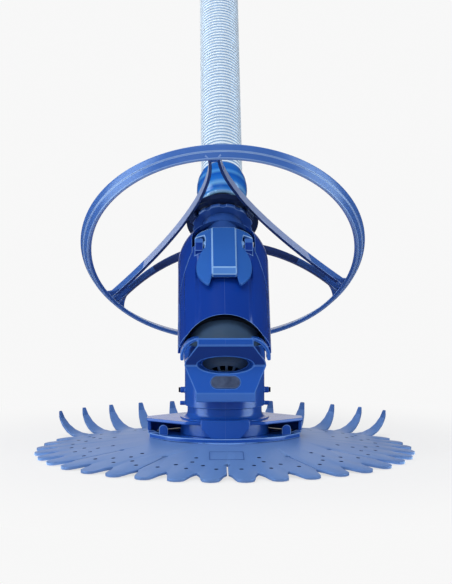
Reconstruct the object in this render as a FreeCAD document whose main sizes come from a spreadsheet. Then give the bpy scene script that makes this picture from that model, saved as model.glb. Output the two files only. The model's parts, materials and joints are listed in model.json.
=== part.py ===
# Suction pool cleaner: finned disc and foot, leaning body, deflector wheel and hose.
# Millimetres, +Z up, the floor at Z = 0 under the centre of the foot.
# The body leans back by the lean angle about the centre of the ball joint. What leans is drawn upright,
# with its axis on Z and its front towards -Y, and is then placed on the joint.
import FreeCAD, Part
import math
import os
from FreeCAD import Placement, Rotation, Vector
import Sketcher

os.makedirs("parts", exist_ok=True)
doc = FreeCAD.newDocument("PoolCleaner")
sheet = doc.addObject("Spreadsheet::Sheet", "Sizes")

driving = {
    # body and its lean
    "joint_height": 110.0,
    "lean_angle": 45.0,
    "soft_gap": 0.3,
    "running_gap": 0.06,
    # foot
    "pad_radius": 90.0,
    "pad_height": 15.2,
    "pad_bore": 42.0,
    "channel_width": 12.0,
    "channel_depth": 5.0,
    "disc_thick": 3.0,
    "disc_flat_radius": 85.0,
    "disc_bore": 62.0,
    "notch_radius": 188.0,
    "fin_tip_radius": 215.0,
    "disc_tip_gap": 0.6,
    "curl_start_radius": 203.0,
    "curl_bend_radius": 38.0,
    "flange_half": 85.0,
    "flange_thick": 5.0,
    "collar_step": 5.0,
    "collar_top": 41.0,
    "collar_plate": 3.5,
    "collar_half": 88.0,
    "wing_end": 9.0,
    "clip_out": 69.0,
    "clip_place": 20.0,
    "neck_wall": 3.5,
    "neck_rise": 14.0,
    "apron_out": 58.5,
    "apron_half": 27.0,
    "throat_step": 3.0,
    "spigot_wall": 3.5,
    # ball joint and cassette
    "cup_wall": 3.0,
    "cup_gap": 1.0,
    "cup_rim": 14.0,
    "cassette_wall": 3.0,
    "cassette_gap": 3.8,
    "dome_step": 4.0,
    "cassette_base": 20.0,
    "cassette_top": 112.0,
    # body
    "body_radius": 53.0,
    "body_wall": 3.2,
    "body_foot": 4.0,
    "shoulder_start": 140.0,
    "shoulder_top": 187.0,
    "neck_radius": 25.0,
    "neck_top": 199.5,
    "cover_top": 122.0,
    "cover_split": 12.0,
    "cover_gap": 0.4,
    "arch_radius": 49.3,
    # release handle
    "hinge_station": 127.0,
    "hinge_depth": 6.0,
    "pin_radius": 2.0,
    "ear_in": 24.0,
    "ear_out": 33.5,
    "handle_top": 147.0,
    "handle_tip": 56.0,
    "handle_skin": 3.6,
    "rib_half": 13.6,
    # pipes, wheel and hose
    "pipe_radius": 22.0,
    "pipe_wall": 2.4,
    "nut_radius": 36.0,
    "nut_thick": 4.5,
    "hub_radius": 43.0,
    "hub_height": 9.0,
    "bush_wall": 3.0,
    "wheel_radius": 168.0,
    "wheel_station": 168.0,
    "strip_width": 9.5,
    "strip_drop": 12.5,
    "strip_thick": 3.6,
    "spoke_thick": 4.0,
    "spoke_height": 12.0,
    "spoke_reach": 40.5,
    "spoke_top": 213.0,
    "wheel_turn": -4.6,
    "cuff_start": 234.0,
    "cuff_length": 50.0,
    "cuff_radius": 30.5,
    "hose_radius": 25.2,
    "hose_wall": 2.2,
    "hose_length": 340.0,
}


class Size:
    """A number together with the sheet formula that gives it."""

    def __init__(self, value, text):
        self.value, self.text = value, text

    def join(self, other, sign, swap=False):
        other = other if isinstance(other, Size) else Size(other, repr(float(other)))
        first, last = (other, self) if swap else (self, other)
        value = {"+": lambda: first.value + last.value, "-": lambda: first.value - last.value,
                 "*": lambda: first.value * last.value, "/": lambda: first.value / last.value}[sign]()
        return Size(value, f"({first.text} {sign} {last.text})")

    def __add__(self, other): return self.join(other, "+")
    def __radd__(self, other): return self.join(other, "+", True)
    def __sub__(self, other): return self.join(other, "-")
    def __rsub__(self, other): return self.join(other, "-", True)
    def __mul__(self, other): return self.join(other, "*")
    def __rmul__(self, other): return self.join(other, "*", True)
    def __truediv__(self, other): return self.join(other, "/")
    def __rtruediv__(self, other): return self.join(other, "/", True)
    def __neg__(self): return 0.0 - self


class Sizes:
    pass


d = Sizes()
for row, (name, number) in enumerate(driving.items(), 1):
    sheet.set(f"A{row}", name)
    sheet.set(f"B{row}", repr(number))
    sheet.setAlias(f"B{row}", name)
    setattr(d, name, Size(number, f"Sizes.{name}"))
doc.recompute()


def bind(thing, prop, size):
    """Ties a property of an object to the sheet."""
    if isinstance(size, Size):
        thing.setExpression(prop, size.text)
    else:
        setattr(thing, prop, size)


def number(size):
    return size.value if isinstance(size, Size) else float(size)


def sketch_on(body, plane, name):
    """A sketch on one of the body's own origin planes, or a free one on that plane if there is no body."""
    turns = {"XY_Plane": Rotation(), "XZ_Plane": Rotation(Vector(1, 0, 0), 90),
             "YZ_Plane": Rotation(0.5, 0.5, 0.5, 0.5)}
    if body is None:
        sketch = doc.addObject("Sketcher::SketchObject", name)
        sketch.Placement = Placement(Vector(), turns[plane])
        return sketch
    sketch = body.newObject("Sketcher::SketchObject", name)
    sketch.AttachmentSupport = [(next(f for f in body.Origin.OriginFeatures if f.Role == plane), "")]
    sketch.MapMode = "FlatFace"
    return sketch


def outline(sketch, corners):
    """Draws a closed outline and ties each corner to the sheet. A corner is (x, y), or (x, y, "arc", mx, my)
    for an arc through (mx, my) that ends there."""
    spots = [Vector(number(corner[0]), number(corner[1]), 0) for corner in corners]
    backward = []
    for i, corner in enumerate(corners):
        start, stop = spots[i - 1], spots[i]
        backward.append(False)
        if len(corner) > 2:
            middle = Vector(number(corner[3]), number(corner[4]), 0)
            backward[i] = (middle - start).cross(stop - middle).z < 0
            ends = (stop, start) if backward[i] else (start, stop)
            sketch.addGeometry(Part.Arc(ends[0], middle, ends[1]), False)
        else:
            sketch.addGeometry(Part.LineSegment(start, stop), False)
    for i, corner in enumerate(corners):
        after = (i + 1) % len(corners)
        end, begin = (1 if backward[i] else 2), (2 if backward[after] else 1)
        sketch.addConstraint(Sketcher.Constraint("Coincident", i, end, after, begin))
        for kind, size in (("DistanceX", corner[0]), ("DistanceY", corner[1])):
            at = sketch.addConstraint(Sketcher.Constraint(kind, -1, 1, i, end, number(size)))
            if isinstance(size, Size):
                sketch.setExpression(f"Constraints[{at}]", size.text)
        if len(corner) > 2:
            # the ends are held, so the centre's offset from one end, across the chord, fixes the arc
            chord, centre = spots[i] - spots[i - 1], sketch.Geometry[i].Center
            flat = abs(chord.x) > abs(chord.y)
            offset = centre.y - spots[i].y if flat else centre.x - spots[i].x
            kind = "DistanceY" if flat else "DistanceX"
            sketch.addConstraint(Sketcher.Constraint(kind, i, end, i, 3, offset))
    return sketch


def turned_body(name, corners):
    """A PartDesign body turned about Z from an outline of (radius, height) corners."""
    body = doc.addObject("PartDesign::Body", name)
    profile = outline(sketch_on(body, "XZ_Plane", f"{name}_profile"), corners)
    turn = body.newObject("PartDesign::Revolution", f"{name}_turn")
    turn.Profile = profile
    turn.ReferenceAxis = (profile, ["V_Axis"])
    turn.Angle = 360.0
    return body


def prism(name, plane, corners, start, stop):
    """An outline on a plane, pushed out along the plane's normal from start to stop."""
    profile = outline(sketch_on(None, plane, f"{name}_outline"), corners)
    block = doc.addObject("Part::Extrusion", name)
    block.Base = profile
    block.DirMode = "Normal"
    block.Solid = True
    bind(block, "LengthFwd", stop if isinstance(stop, Size) else float(stop))
    bind(block, "LengthRev", -start if isinstance(start, Size) else -float(start))
    return block


def boolean(kind, name, pieces):
    """Part::Cut of two pieces, or Part::MultiFuse or Part::MultiCommon of several."""
    result = doc.addObject(f"Part::{kind}", name)
    if kind == "Cut":
        result.Base, result.Tool = pieces
    else:
        result.Shapes = pieces
    return result


def rod(name, radius, height, foot=0.0):
    """A cylinder about Z, from a foot height upwards."""
    piece = doc.addObject("Part::Cylinder", name)
    bind(piece, "Radius", radius)
    bind(piece, "Height", height)
    if isinstance(foot, Size):
        piece.setExpression(".Placement.Base.z", foot.text)
    else:
        piece.Placement = Placement(Vector(0, 0, foot), Rotation())
    return piece


nodes = []


def keep(piece, label, leaning=False):
    """Names a finished sub-part and, if it belongs to the leaning body, puts it on the joint."""
    piece.Label = label
    if leaning:
        piece.Placement = Placement(Vector(), Rotation(Vector(-1, 0, 0), 45.0))
        piece.setExpression(".Placement.Base.z", d.joint_height.text)
        piece.setExpression(".Placement.Rotation.Angle", d.lean_angle.text)
    nodes.append(piece)
    return piece


# sizes that follow the body and keep its parts together
shell_bore = d.body_radius - d.body_wall
cassette_radius = shell_bore - d.cassette_gap
dome_radius = cassette_radius - d.dome_step
throat_radius = dome_radius + d.throat_step
collar_radius = throat_radius + d.collar_step
passage_radius = throat_radius - d.throat_step - d.neck_wall - d.spigot_wall
hinge_out = d.body_radius - d.hinge_depth
# a length that reaches past every part of the body
clear = 2 * d.body_radius


# ---- foot, disc and collar, upright on the floor ----

flange_base = d.pad_height + d.disc_thick + 2 * d.soft_gap
flange_top = flange_base + d.flange_thick
neck_top = d.collar_top + d.neck_rise


def foot_pad():
    """The soft pad under the disc, with water channels across its sole."""
    body = turned_body("Pad", [
        (d.pad_bore + d.soft_gap, 0.0), (d.pad_radius - 3, 0.0), (d.pad_radius, 3.0),
        (d.pad_radius, d.pad_height - 5), (d.disc_flat_radius - 12, d.pad_height),
        (d.pad_bore + d.soft_gap, d.pad_height)])
    doc.recompute()
    sketch = outline(sketch_on(body, "XY_Plane", "Pad_channel"), [
        (d.pad_bore - 4, -d.channel_width / 2), (d.pad_radius + 2, -d.channel_width / 2),
        (d.pad_radius + 2, d.channel_width / 2), (d.pad_bore - 4, d.channel_width / 2)])
    channel = body.newObject("PartDesign::Pocket", "Pad_channels")
    channel.Profile = sketch
    channel.Reversed = True
    channel.setExpression("Length", d.channel_depth.text)
    pattern = body.newObject("PartDesign::PolarPattern", "Pad_ring")
    pattern.Originals = [channel]
    pattern.Axis = (sketch, ["N_Axis"])
    pattern.Angle = 360.0
    pattern.Occurrences = 8
    body.Tip = pattern
    return keep(body, "foot_pad")


def fin_corners(steps, root, tip, flank):
    """The outline of fins at the given pitch steps: a notch, then a rounded petal. The flank gives
    the petal's half width, as a share of the pitch, at shares of its length."""
    pitch = math.radians(10)
    points = []
    for step in steps:
        middle = (step + 0.5) * pitch
        points.append((root, middle - pitch / 2))
        points += [(root + (tip - root) * along, middle - half * pitch) for along, half in flank]
        points.append((tip, middle))
        points += [(root + (tip - root) * along, middle + half * pitch) for along, half in flank[::-1]]
    points.append((root, (steps[-1] + 1) * pitch))
    return [Vector(r * math.sin(a), -r * math.cos(a), 0) for r, a in points]


def finned_disc():
    """The flexible disc: a shallow cone cut into 36 fins, of which the rear ones curl up, with
    slits between its front petals."""
    bore, flat, thick, notch, tip, edge, curl, bend_radius, height, gap = (
        sheet.get(alias) for alias in (
            "disc_bore", "disc_flat_radius", "disc_thick", "notch_radius", "fin_tip_radius", "disc_tip_gap",
            "curl_start_radius", "curl_bend_radius", "pad_height", "soft_gap"))
    foot = height + gap
    slope = (foot - edge) / (tip - flat)

    def turned(upper, lower):
        points = [Vector(r, 0, z) for r, z in upper + lower[::-1]]
        face = Part.Face(Part.makePolygon(points + points[:1]))
        return face.revolve(Vector(), Vector(0, 0, 1), 360)

    def level(r):
        return foot - slope * (r - flat)

    flat_turn = turned([(bore, foot + thick), (flat, foot + thick), (tip + 5, level(tip + 5) + thick)],
                       [(bore, foot), (flat, foot), (tip + 5, level(tip + 5))])
    # the rear fins follow a quarter bend, and thin out towards the tip
    turns = [math.radians(75 * i / 5) for i in range(6)]
    under = [(curl + bend_radius * math.sin(t), level(curl) + bend_radius * (1 - math.cos(t))) for t in turns]
    over = [(r - thick * 0.8 * math.sin(t), z + thick * 0.8 * math.cos(t)) for (r, z), t in zip(under, turns)]
    curl_turn = turned([(bore, foot + thick), (flat, foot + thick)] + over,
                       [(bore, foot), (flat, foot)] + under)
    far = curl + bend_radius * math.sin(turns[-1])
    front = fin_corners(range(-12, 12), notch, tip, [
        (0.10, 0.44), (0.30, 0.36), (0.62, 0.30), (0.86, 0.24), (0.96, 0.14)])
    rear = fin_corners(range(12, 24), notch - 4, far - 1, [
        (0.08, 0.43), (0.30, 0.35), (0.62, 0.22), (0.88, 0.12), (0.97, 0.07)])
    pieces = []
    for turn, points in ((flat_turn, front), (curl_turn, rear)):
        wire = Part.makePolygon([Vector()] + points + [Vector()])
        pieces.append(turn.common(Part.Face(wire).extrude(Vector(0, 0, 80))))
    disc = pieces[0].fuse(pieces[1]).removeSplitter()
    cuts = []
    slit_width, slit_end, centre_end = 1.6, notch - 56, notch - 32
    for turn in range(-60, 61, 30):
        inner = slit_end if turn else centre_end
        slit = Part.makeBox(slit_width, notch + 2 - inner, 60, Vector(-slit_width / 2, -notch - 2, -10))
        eye = Part.makeCylinder(2 * slit_width, 60, Vector(0, -inner, -10))
        cuts += [piece.rotated(Vector(), Vector(0, 0, 1), turn) for piece in (slit, eye)]
    disc = disc.cut(cuts)
    piece = doc.addObject("Part::Feature", "Disc")
    piece.Shape = disc.Solids[0]
    return keep(piece, "finned_disc")


def wing_outline(end, end_half, side, side_half, middle):
    """A plan pointed towards both sides, with bowed front and rear edges."""
    return [(end, -end_half), (end, end_half), (side, side_half), (-side, side_half, "arc", 0.0, middle),
            (-end, end_half), (-end, -end_half), (-side, -side_half), (side, -side_half, "arc", 0.0, -middle)]


def base_flange():
    """The plate over the disc, with the spigot that the disc turns on and the sleeve that holds the pad."""
    plate = prism("Flange_plate", "XY_Plane", wing_outline(
        d.flange_half, d.wing_end, d.flange_half * 0.8, 32.0, d.apron_out + 1.0), flange_base, flange_top)
    spigot = rod("Flange_spigot", d.disc_bore - d.running_gap, flange_base - d.pad_height, d.pad_height)
    sleeve = rod("Flange_sleeve", d.pad_bore, flange_top - 4.0, 4.0)
    bore = rod("Flange_bore", passage_radius, d.joint_height)
    lugs = []
    for side in (-1, 1):
        lug = prism("Flange_lug_right" if side > 0 else "Flange_lug_left", "XZ_Plane", [
            (side * (d.flange_half - 12), flange_top), (side * (d.flange_half + 1.5), flange_top),
            (side * (d.flange_half + 1.5), flange_top + 3.0), (side * (d.flange_half - 4), flange_top + 3.0)],
            -7.0, 7.0)
        lugs.append(lug)
    solid = boolean("MultiFuse", "Flange_solid", [plate, spigot, sleeve] + lugs)
    return keep(boolean("Cut", "Flange", [solid, bore]), "base_flange")


def foot_collar():
    """The collar on the flange: a drum with a flared neck, two pointed wings with end walls, and an apron in
    front with a slanting edge."""
    low = d.collar_top - d.collar_plate
    neck = throat_radius - d.throat_step
    wings = prism("Collar_wings", "XY_Plane", wing_outline(
        d.collar_half, d.wing_end, neck + 4, neck, collar_radius - 1), low, d.collar_top)
    drum = turned_body("Collar_drum", [
        (neck - d.neck_wall, flange_top), (collar_radius, flange_top), (collar_radius, d.collar_top + 1.5),
        (neck, d.collar_top + 7.0, "arc", neck + 2.2, d.collar_top + 3.0), (neck, neck_top - d.soft_gap),
        (neck - d.neck_wall, neck_top - d.soft_gap)])
    half, out = d.apron_half, d.apron_out
    apron_plan = prism("Apron_plan", "XY_Plane", [
        (half, 0.0), (-half, 0.0), (-half, -out * 0.9), (half, -out * 0.9, "arc", 0.0, -out)],
        flange_top, d.collar_top + 5.0)
    apron_face = prism("Apron_face", "XZ_Plane", [
        (half * 0.6, flange_top), (half, d.collar_top - 6.0), (half, d.collar_top + 3.0),
        (-half, d.collar_top + 3.0), (-half, d.collar_top - 6.0), (-half * 0.6, flange_top)], 0.0, clear)
    apron = boolean("MultiCommon", "Collar_apron", [apron_plan, apron_face])
    walls = []
    for side in (-1, 1):
        foot, tip = side * (d.collar_half - 5.0), side * (d.collar_half - 1.0)
        walls.append(prism("Collar_wall_right" if side > 0 else "Collar_wall_left", "XY_Plane", [
            (foot, -d.wing_end), (tip, -d.wing_end), (tip, d.wing_end), (foot, d.wing_end)],
            flange_top + 3.0 + d.soft_gap, low + 1.0))
        near, end = neck - 14, d.collar_half - 3
        walls.append(prism("Collar_back_right" if side > 0 else "Collar_back_left", "XY_Plane", [
            (side * near, neck - 1), (side * (neck + 2.5), neck - 3), (side * (end - 2), d.wing_end - 0.5),
            (side * end, d.wing_end + 2), (side * (neck + 4), neck), (side * near, neck + 4)],
            flange_top + d.soft_gap, low + 1.0))
    bore = rod("Collar_bore", neck - d.neck_wall, d.joint_height)
    solid = boolean("MultiFuse", "Collar_solid", [wings, drum, apron] + walls)
    return keep(boolean("Cut", "Collar", [solid, bore]), "foot_collar")


def pad_clip(side):
    """A round-topped spring clip that stands in the collar's pocket."""
    name = "Clip_right" if side > 0 else "Clip_left"
    half = 5.0
    near, far = side * (d.clip_out - half), side * (d.clip_out + half)
    straight = flange_top + (d.collar_top - d.collar_plate - flange_top) * 0.45
    clip = prism(name, "XZ_Plane", [
        (near, flange_top), (far, flange_top), (far, straight),
        (near, straight, "arc", side * d.clip_out, straight + half)], d.clip_place - 3, d.clip_place + 3)
    return keep(clip, "pad_clip_right" if side > 0 else "pad_clip_left")


foot_pad()
finned_disc()
base_flange()
foot_collar()
pad_clip(-1)
pad_clip(1)


# ---- throat and chin, upright, round the ball joint ----

cup_hollow = dome_radius + d.cup_gap
cup_radius = cup_hollow + d.cup_wall
cup_rim_height = d.joint_height + d.cup_rim
crease_out = cup_radius + 4.0
crease_height = d.joint_height - 5.5
lip_low = d.joint_height - 44.5
bumper_top = d.joint_height + 26.0
bumper_out = crease_out + 12.0
crease_half = throat_radius + 0.5
brow_half = throat_radius - 14
lip_half = throat_radius - 12
screw_drop = 38.0
boss_reach = 5.0


def ball(name, radius):
    """A sphere about the centre of the ball joint."""
    piece = doc.addObject("Part::Sphere", name)
    bind(piece, "Radius", radius)
    piece.setExpression(".Placement.Base.z", d.joint_height.text)
    return piece


def mouth_window(name):
    """The oval window in the crease, through which the cassette shows."""
    window = doc.addObject("Part::Ellipsoid", name)
    window.Radius1 = 9.4
    bind(window, "Radius2", throat_radius - 13)
    bind(window, "Radius3", throat_radius - 5)
    window.setExpression(".Placement.Base.y", (-crease_out - 10.0).text)
    window.setExpression(".Placement.Base.z", (crease_height + 1.0).text)
    return window


def throat():
    """The neck of the foot and, on top of it, the cup that the cassette's dome sits in."""
    inside = throat_radius - d.throat_step - d.neck_wall - d.running_gap
    tube = rod("Throat_tube", throat_radius, d.joint_height - neck_top, neck_top)
    spigot = rod("Throat_spigot", inside, d.joint_height - flange_top, flange_top)
    bosses = []
    for side in (-1, 1):
        for kind, drop, radius, reach in (("screw", screw_drop, 3.4, boss_reach), ("lug", 53.0, 2.4, 5.5)):
            boss = doc.addObject("Part::Cylinder", f"Boss_{kind}_{'right' if side > 0 else 'left'}")
            boss.Radius = radius
            boss.Height = reach + 2.0
            boss.Placement = Placement(Vector(), Rotation(Vector(0, 1, 0), 90 * side))
            boss.setExpression(".Placement.Base.x", f"{side} * ({throat_radius.text} - 2)")
            boss.setExpression(".Placement.Base.z", (d.joint_height - drop).text)
            bosses.append(boss)
    solid = boolean("MultiFuse", "Throat_solid", [tube, spigot, ball("Throat_cup", cup_radius)] + bosses)
    passage = rod("Throat_passage", passage_radius, d.joint_height - flange_top, flange_top - 4)
    above = rod("Throat_above", 2 * throat_radius, clear, cup_rim_height)
    # the cup is cut off square to the leaning body, this far above the joint
    rim = 2
    lean = doc.addObject("Part::Box", "Throat_lean")
    for side in ("Length", "Width", "Height"):
        bind(lean, side, 2 * clear)
    lean.Placement = Placement(Vector(), Rotation(Vector(-1, 0, 0), 45))
    lean.setExpression(".Placement.Rotation.Angle", d.lean_angle.text)
    lean.setExpression(".Placement.Base.x", (-clear).text)
    reach = f"cos({d.lean_angle.text} * 1 deg)"
    slant = f"sin({d.lean_angle.text} * 1 deg)"
    lean.setExpression(".Placement.Base.y", f"{rim} * {slant} - {clear.text} * {reach}")
    lean.setExpression(".Placement.Base.z",
                       f"{d.joint_height.text} + {rim} * {reach} + {clear.text} * {slant}")
    cutters = [ball("Throat_hollow", cup_hollow), passage, above, lean,
               mouth_window("Throat_window")]
    waste = boolean("MultiFuse", "Throat_waste", cutters)
    return keep(boolean("Cut", "Throat", [solid, waste]), "throat")


def stadium(half, radius):
    """The corners of an oval with straight sides."""
    return [(half, -radius), (half, radius, "arc", half + radius, 0.0),
            (-half, radius), (-half, -radius, "arc", -half - radius, 0.0)]


chin_fall = crease_height - lip_low - 10
chin_jut = 14.0
badge_drop = 17.5
badge_half, badge_radius = 9.0, 7.0


def badge(name, grow, low, high):
    """The oval plate in the chin, or the seat cut for it, square to the chin's face."""
    plate = prism(name, "XZ_Plane", stadium(badge_half, badge_radius + grow), low, high)
    plate.Placement = Placement(Vector(), Rotation(Vector(-1, 0, 0), 26))
    plate.setExpression(".Placement.Rotation.Angle", f"atan({chin_jut} / {chin_fall.text})")
    plate.setExpression(".Placement.Base.y", (-(crease_out + chin_jut * badge_drop / chin_fall)).text)
    plate.setExpression(".Placement.Base.z", (crease_height - badge_drop).text)
    return plate


def chin():
    """The cowl in front of the throat: bumper bar, sloping brow, crease, chin face and lip."""
    side = prism("Chin_side", "YZ_Plane", [
        (-bumper_out + 5, bumper_top), (-bumper_out, bumper_top), (-bumper_out, bumper_top - 8),
        (-crease_out, crease_height), (-crease_out - chin_jut, lip_low + 10),
        (-crease_out - chin_jut, lip_low),
        (-20.0, lip_low), (-20.0, crease_height), (-crease_out + 4, crease_height + 12)], -clear, clear)
    right = [(brow_half, bumper_top), (brow_half, bumper_top - 8), (crease_half - 1, crease_height + 5),
             (crease_half, crease_height), (lip_half, lip_low + 11), (lip_half, lip_low)]
    front = prism("Chin_front", "XZ_Plane", right + [(-x, z) for x, z in right[::-1]], 0.0, clear)
    parts = [boolean("MultiCommon", "Chin_cowl", [side, front])]
    for turn in (-1, 1):
        root, out, inside = turn * (brow_half - 2), turn * (cup_radius + 4), turn * cup_radius
        parts.append(prism("Ear_right" if turn > 0 else "Ear_left", "XZ_Plane", [
            (root, bumper_top), (out, bumper_top - 19, "arc", turn * (cup_radius - 3), bumper_top - 5.8),
            (out, bumper_top - 25), (inside, bumper_top - 25), (inside, bumper_top - 19),
            (root, bumper_top - 3, "arc", turn * (cup_radius - 5.8), bumper_top - 8.6)],
            cup_radius - 22, bumper_out - 4))
    solid = boolean("MultiFuse", "Chin_solid", parts)
    waste = boolean("MultiFuse", "Chin_waste", [
        rod("Chin_bore", throat_radius, 2 * d.joint_height), ball("Chin_socket", cup_radius),
        mouth_window("Chin_window"), badge("Chin_seat", d.running_gap, -2.0, 5.0)])
    return keep(boolean("Cut", "Chin", [solid, waste]), "chin_cowl")


def side_screws():
    """The two screws in the throat's side bosses."""
    screws = []
    for side in (-1, 1):
        screw = doc.addObject("Part::Cylinder", "Screw_right" if side > 0 else "Screw_left")
        screw.Radius = 2.9
        screw.Height = 2.0
        screw.Placement = Placement(Vector(), Rotation(Vector(0, 1, 0), 90 * side))
        screw.setExpression(".Placement.Base.x", f"{side} * ({throat_radius.text} + {boss_reach})")
        screw.setExpression(".Placement.Base.z", (d.joint_height - screw_drop).text)
        screws.append(screw)
    return keep(boolean("MultiFuse", "Screws", screws), "side_screws")


throat()
chin()
keep(badge("Badge", 0.0, -2.0, 0.5), "badge_plate")
side_screws()


# ---- the leaning body, drawn upright about the joint ----

inner_pipe_out = d.pipe_radius - d.pipe_wall - d.soft_gap
diaphragm_out = inner_pipe_out - d.soft_gap
neck_bore = d.pipe_radius + d.soft_gap
pipe_foot = d.shoulder_start + 10
cassette_split = d.cassette_base + 8


def cassette_lower():
    """The smoky dome of the cassette, open below."""
    inner = dome_radius - d.cassette_wall
    rim, drop = dome_radius * 0.69, dome_radius * 0.7238
    return keep(turned_body("Cassette_lower", [
        (rim, -drop), (dome_radius, 0.0, "arc", dome_radius * 0.9, -dome_radius * 0.4359),
        (dome_radius, cassette_split), (inner, cassette_split), (inner, 0.0),
        (rim - d.cassette_wall, 4.4 - drop)]), "cassette_lower", True)


def cassette_upper():
    """The shell over the diaphragm, which narrows to the inner pipe."""
    low, top, wall = cassette_split, d.cassette_top, d.cassette_wall
    out = d.neck_radius - 2
    return keep(turned_body("Cassette_upper", [
        (cassette_radius - wall, low), (cassette_radius, low), (cassette_radius, top - 14),
        (out, top + 8), (out, top + 14), (out - wall, top + 14), (out - wall, top + 6),
        (cassette_radius - wall, top - 16)]), "cassette_upper", True)


def diaphragm():
    """The rubber tube that opens and shuts in the flow."""
    low, top, out = cassette_split, d.cassette_top, cassette_radius - d.cassette_wall - 0.2
    bore = diaphragm_out - 2.5
    return keep(turned_body("Diaphragm", [
        (cassette_radius - 10, low), (out, low), (out, low + 4), (cassette_radius - 8, low + 4),
        (diaphragm_out, top - 20), (diaphragm_out, top - 6), (bore, top - 6), (bore, top - 21)]),
        "diaphragm", True)


def plain_ring(name, label, inner, outer, low, height):
    """A ring of rectangular section on the leaning axis."""
    return keep(turned_body(name, [(inner, low), (outer, low), (outer, low + height), (inner, low + height)]),
                label, True)


def door_outline(shrink):
    """The front opening, seen square on: wide below, drawn in beside the handle and arched over the neck."""
    wide, side, waist = d.body_radius + 7, d.body_radius - 1.5 - shrink, d.body_radius - 16.5 - shrink
    low, high = d.handle_tip + 12, d.hinge_station - 2
    bow, middle = d.body_radius - 6.5 - shrink, (low + high) / 2 + 1.5
    return [(-wide, -5.0), (wide, -5.0), (wide, 40.0), (side, low), (waist, high, "arc", bow, middle),
            (waist, pipe_foot), (-waist, pipe_foot, "arc", 0.0, pipe_foot + waist), (-waist, high),
            (-side, low, "arc", -bow, middle), (-wide, 40.0)]


def body_shell():
    """The rear shell: barrel, domed shoulder and neck, open at the front for the cassette."""
    neck, rise, seat = d.neck_radius, d.shoulder_top - d.shoulder_start, d.cassette_top + 21
    barrel = turned_body("Shell_barrel", [
        (shell_bore, d.body_foot), (d.body_radius, d.body_foot), (d.body_radius, d.shoulder_start),
        (neck, d.shoulder_top, "arc", neck + (d.body_radius - neck) * 0.712, d.shoulder_start + rise * 0.553),
        (neck, d.neck_top), (neck_bore, d.neck_top), (neck_bore, seat), (neck, seat),
        (neck, d.shoulder_top - 4),
        (shell_bore, d.shoulder_start, "arc", neck + (shell_bore - neck) * 0.664,
         d.shoulder_start + rise * 0.532)])
    door = prism("Shell_door", "XZ_Plane", door_outline(0.0), d.cover_split, clear)
    opening = boolean("Cut", "Shell_opening", [door, rod("Shell_core", neck, d.neck_top)])
    past = d.body_radius + 5
    level_rim = prism("Shell_level_rim", "YZ_Plane", [
        (0.0, 0.0), (past, 0.0), (past, d.body_foot + past), (0.0, d.body_foot)], -past, past)
    waste = boolean("MultiFuse", "Shell_waste", [opening, level_rim])
    return keep(boolean("Cut", "Shell", [barrel, waste]), "body_shell", True)


# ---- front cover and release handle ----

cover_bottom = d.body_foot + 0.5


def front_cover():
    """The cover over the cassette, arched below round the dome, with ears for the handle's pin."""
    skin = turned_body("Cover_skin", [
        (shell_bore, cover_bottom), (d.body_radius, cover_bottom), (d.body_radius, d.hinge_station + 5),
        (shell_bore, d.hinge_station + 5)])
    door = prism("Cover_door", "XZ_Plane", door_outline(d.cover_gap), d.cover_split + d.cover_gap, clear)
    panel = boolean("MultiCommon", "Cover_panel", [skin, door])
    ears = []
    near, up = hinge_out, d.hinge_station
    for side in (-1, 1):
        ear = [(-near + 6, d.cover_top - 6), (-near - 3, d.cover_top - 6), (-near - 4.5, up),
               (-near - 4.0, up + 7.0), (-near + 1.5, up + 8.5), (-near + 5.5, up + 6)]
        low, high = (d.ear_in, d.ear_out) if side > 0 else (-d.ear_out, -d.ear_in)
        ears.append(prism("Cover_ear_right" if side > 0 else "Cover_ear_left", "YZ_Plane", ear, low, high))
    arch = doc.addObject("Part::Cylinder", "Cover_arch")
    bind(arch, "Radius", d.arch_radius)
    bind(arch, "Height", clear)
    arch.Placement = Placement(Vector(), Rotation(Vector(1, 0, 0), 90 + 45))
    arch.setExpression(".Placement.Rotation.Angle", f"90 + {d.lean_angle.text}")
    pin_hole = cross_rod("Cover_pin_hole", d.pin_radius, d.ear_out + 5)
    notch = prism("Cover_notch", "XZ_Plane", [
        (-d.ear_in, d.cover_top), (d.ear_in, d.cover_top), (d.ear_in, d.handle_top),
        (-d.ear_in, d.handle_top)],
        0.0, clear)
    eared = boolean("MultiFuse", "Cover_eared", [panel] + ears)
    waste = boolean("MultiFuse", "Cover_waste", [arch, pin_hole, notch])
    return keep(boolean("Cut", "Cover", [eared, waste]), "front_cover", True)


def cross_rod(name, radius, half):
    """A cylinder along the handle's hinge line."""
    piece = doc.addObject("Part::Cylinder", name)
    bind(piece, "Radius", radius)
    bind(piece, "Height", 2 * half)
    piece.Placement = Placement(Vector(), Rotation(Vector(0, 1, 0), 90))
    piece.setExpression(".Placement.Base.x", (-half).text)
    piece.setExpression(".Placement.Base.y", (-hinge_out).text)
    piece.setExpression(".Placement.Base.z", d.hinge_station.text)
    return piece


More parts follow.
